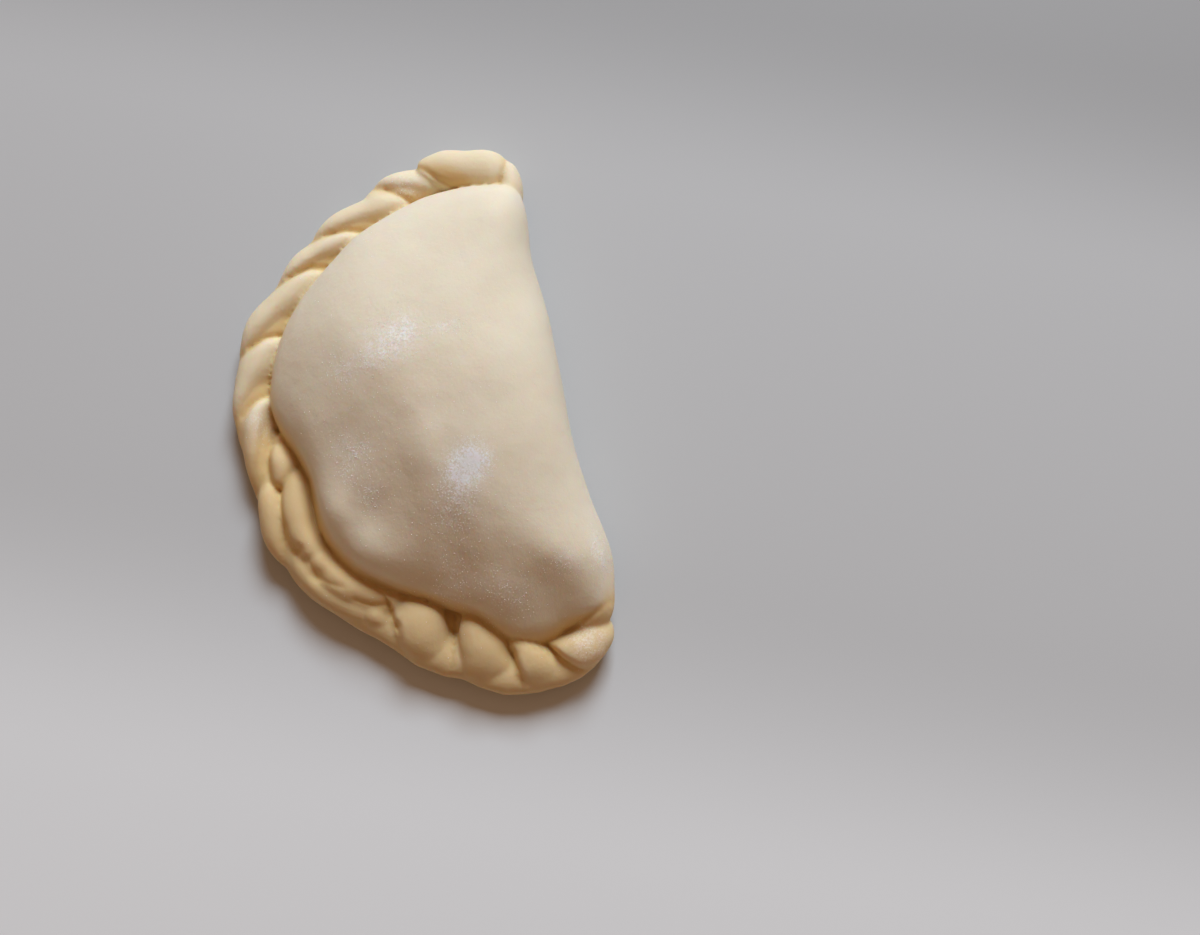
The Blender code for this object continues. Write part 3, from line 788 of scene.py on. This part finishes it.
board_corners = [(x * BOARD_REACH, y * BOARD_REACH, 0) for x, y in ((-1, -1), (1, -1), (1, 1), (-1, 1))]
board_mesh = bpy.data.meshes.new("board")
board_mesh.from_pydata(board_corners, [], [(0, 1, 2, 3)])
board = bpy.data.objects.new("board", board_mesh)
bpy.context.scene.collection.objects.link(board)
board_paint = Paint("pale_board")
board_place = board_paint.add("ShaderNodeTexCoord", {}, {}, output="Object")
board_x = board_paint.add("ShaderNodeSeparateXYZ", {}, {"Vector": board_place})
board_y = board_paint.add("ShaderNodeSeparateXYZ", {}, {"Vector": board_place}, output=1)
downwards = board_x + board_y * PAINTED_SHADOW_SLANT
first_step, second_step = (downwards.step(low, high) * share for low, high, share in PAINTED_SHADOW_EDGES)
board_grey_with_painted_shadow = board_paint.mix(first_step + second_step, PAINTED_SHADOW_GREY, PALE)
board_mesh.materials.append(board_paint.finish(Base_Color=board_grey_with_painted_shadow, Roughness=0.55))


# The camera looks almost straight down, turned so that the narrow end is at the top of the picture.
# It was placed by the outline's length, turn and place in the photograph.
PICTURE = (1200, 935)
LENS, SENSOR = 50.0, 36.0
PICTURE_TURN, CAMERA_TILT = math.radians(14), math.radians(6)
AIM = (14.65, 38.06)
MM_PER_PIXEL = 0.2190

to_right = Vector((math.sin(PICTURE_TURN), math.cos(PICTURE_TURN), 0))
level_up = Vector((-math.cos(PICTURE_TURN), math.sin(PICTURE_TURN), 0))
backwards = Vector((0, 0, 1)) * math.cos(CAMERA_TILT) - level_up * math.sin(CAMERA_TILT)
upwards = backwards.cross(to_right)
distance = MM_PER_PIXEL * MM * PICTURE[0] * LENS / SENSOR
camera = bpy.data.objects.new("camera", bpy.data.cameras.new("camera"))
camera.data.lens = LENS
camera.data.sensor_width = SENSOR
camera.data.clip_start = 0.01
bpy.context.scene.collection.objects.link(camera)
turned = Matrix((to_right, upwards, backwards)).transposed()
camera.matrix_world = Matrix.Translation(Vector((*AIM, 0)) * MM + backwards * distance) @ turned.to_4x4()
bpy.context.scene.camera = camera


# The light is one wide, cool window beyond the top of the picture, a little to the right. The room
# round it is warm and dim, and fills the shadows.
WINDOW_PLACE, WINDOW_WIDE, WINDOW_HIGH = (-2.06, 1.10, 1.84), 1.3, 1.1
WINDOW_POWER, WINDOW_COLOUR = 99, (0.80, 0.93, 1.04)
ROOM_STRENGTH, ROOM_COLOUR = 0.265, (1.0, 0.61, 0.36, 1)

lamp = bpy.data.lights.new("window", "AREA")
lamp.shape = "RECTANGLE"
lamp.size = WINDOW_WIDE
lamp.size_y = WINDOW_HIGH
lamp.energy = WINDOW_POWER
lamp.color = WINDOW_COLOUR
window = bpy.data.objects.new("window", lamp)
window.location = WINDOW_PLACE
window.rotation_euler = (-Vector(WINDOW_PLACE)).to_track_quat("-Z", "Y").to_euler()
bpy.context.scene.collection.objects.link(window)
room = bpy.data.worlds.new("room")
room.use_nodes = True
room.node_tree.nodes["Background"].inputs["Color"].default_value = ROOM_COLOUR
room.node_tree.nodes["Background"].inputs["Strength"].default_value = ROOM_STRENGTH
bpy.context.scene.world = room
bpy.context.scene.view_settings.view_transform = "Standard"
bpy.context.scene.view_settings.look = "None"
